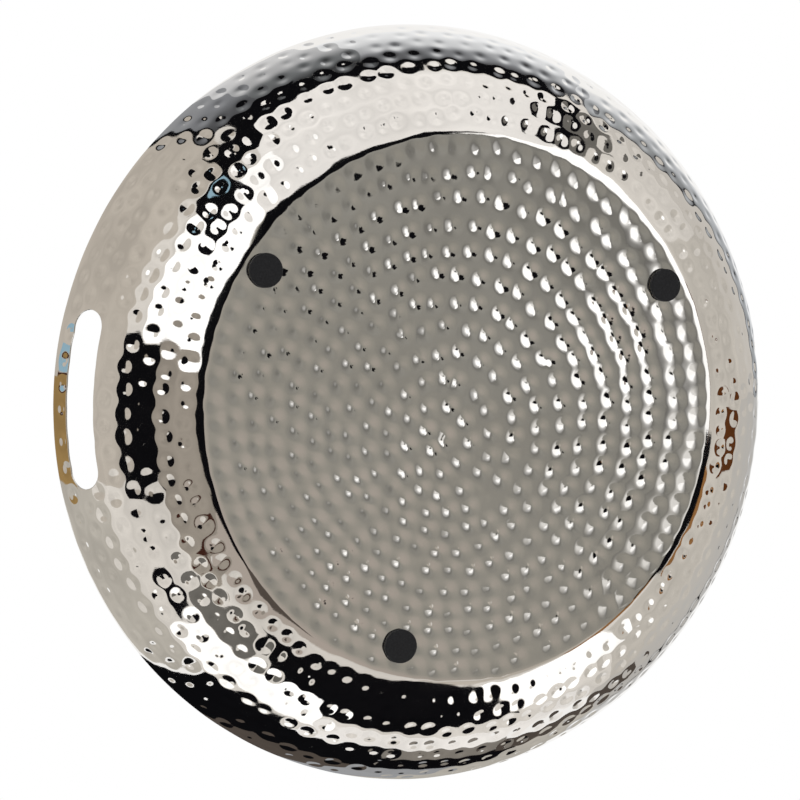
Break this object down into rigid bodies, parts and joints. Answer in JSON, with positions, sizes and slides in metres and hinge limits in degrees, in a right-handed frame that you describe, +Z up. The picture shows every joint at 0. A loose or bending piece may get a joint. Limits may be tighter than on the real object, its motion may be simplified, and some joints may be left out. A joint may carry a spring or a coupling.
{
  "type": "decorative tray",
  "caption": "Round deep tray of hammered polished metal with a flat base, a bulging wall pierced by finger slots, and black stick-on pads under the base.",
  "frame": {"origin": "on the tray's axis, at the plane of the pads' undersides", "axes": "+Z up along the tray's axis, out of its open side; the finger slots are on the X axis"},
  "size_m": [0.42, 0.42, 0.0644],
  "materials": {
    "polished_metal": "hammered and mirror polished, nickel colour",
    "black_felt": "matte pressed felt",
    "adhesive": "thin pressure-sensitive glue layer"
  },
  "bodies": {
    "root": {"tray_body": "polished_metal", "foot_pad_1": "black_felt", "foot_pad_2": "black_felt", "foot_pad_3": "black_felt", "pad_adhesive_1": "adhesive", "pad_adhesive_2": "adhesive", "pad_adhesive_3": "adhesive"}
  },
  "joints": []
}
